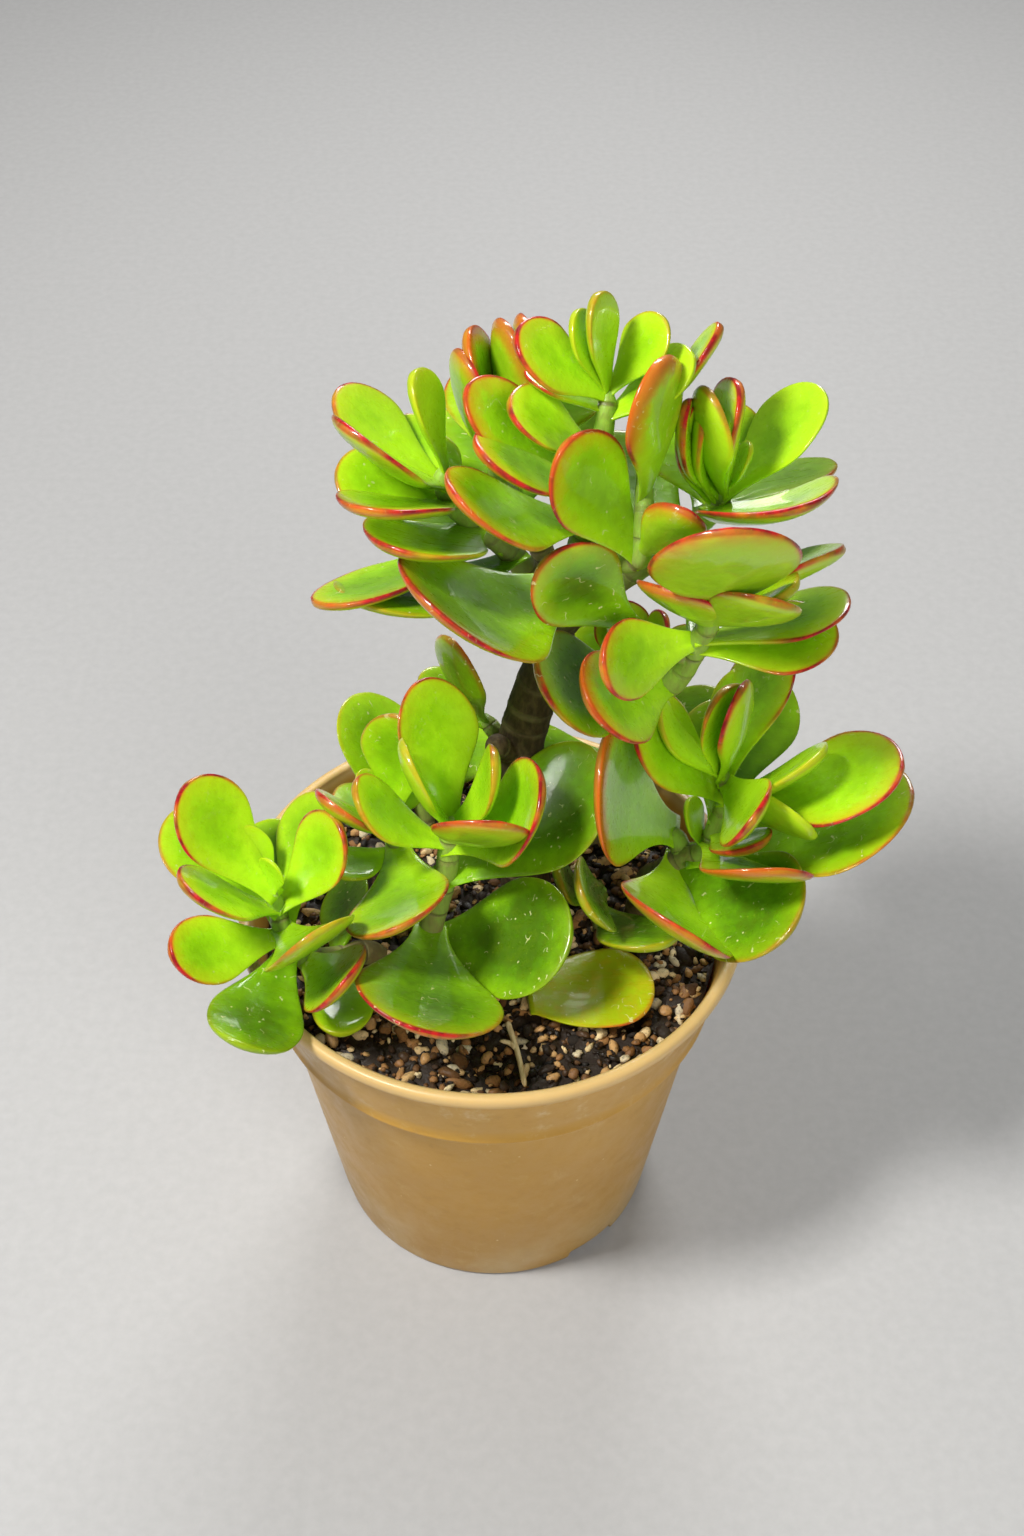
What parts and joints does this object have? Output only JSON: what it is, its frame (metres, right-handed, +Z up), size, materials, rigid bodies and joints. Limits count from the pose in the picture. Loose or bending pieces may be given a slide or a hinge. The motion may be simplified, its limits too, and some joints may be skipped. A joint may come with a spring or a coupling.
{
  "type": "potted succulent plant",
  "caption": "Potted branching succulent with a woody trunk and fleshy oval leaves in pairs, in a round tapered nursery pot of potting mix.",
  "frame": {"origin": "centre of the pot's flat base, on the surface that the pot stands on", "axes": "+Z up along the pot's axis, +X to the viewer's right in the picture, +Y away from the viewer"},
  "size_m": [0.162, 0.1161, 0.2488],
  "materials": {
    "pot_plastic": "thin tan thermoformed plastic with a soft sheen and pale scuffs",
    "potting_mix": "dark bark and peat with pale grit, matt",
    "bark": "dry brown succulent bark with ring scars, matt",
    "leaf": "waxy green flesh with yellow to red edges, semi-gloss",
    "old_leaf": "waxy dark green flesh, semi-gloss",
    "fallen_leaf": "waxy olive flesh with a reddish edge, semi-gloss",
    "straw": "dry straw, matt"
  },
  "bodies": {
    "root": {"pot": "pot_plastic", "potting_mix": "potting_mix", "trunk": "bark", "right_stem": "bark", "left_shoot": "leaf", "centre_shoot": "leaf", "back_left_shoot": "leaf", "right_shoot": "leaf", "trunk_side_shoot": "leaf", "crown_left_shoot": "leaf", "crown_back_shoot": "leaf", "crown_top_shoot": "leaf", "right_top_shoot": "leaf", "right_middle_shoot": "leaf", "low_sprout": "old_leaf", "rear_right_shoot": "leaf", "rear_left_shoot": "leaf", "fallen_leaf": "fallen_leaf", "straw": "straw"}
  },
  "joints": []
}
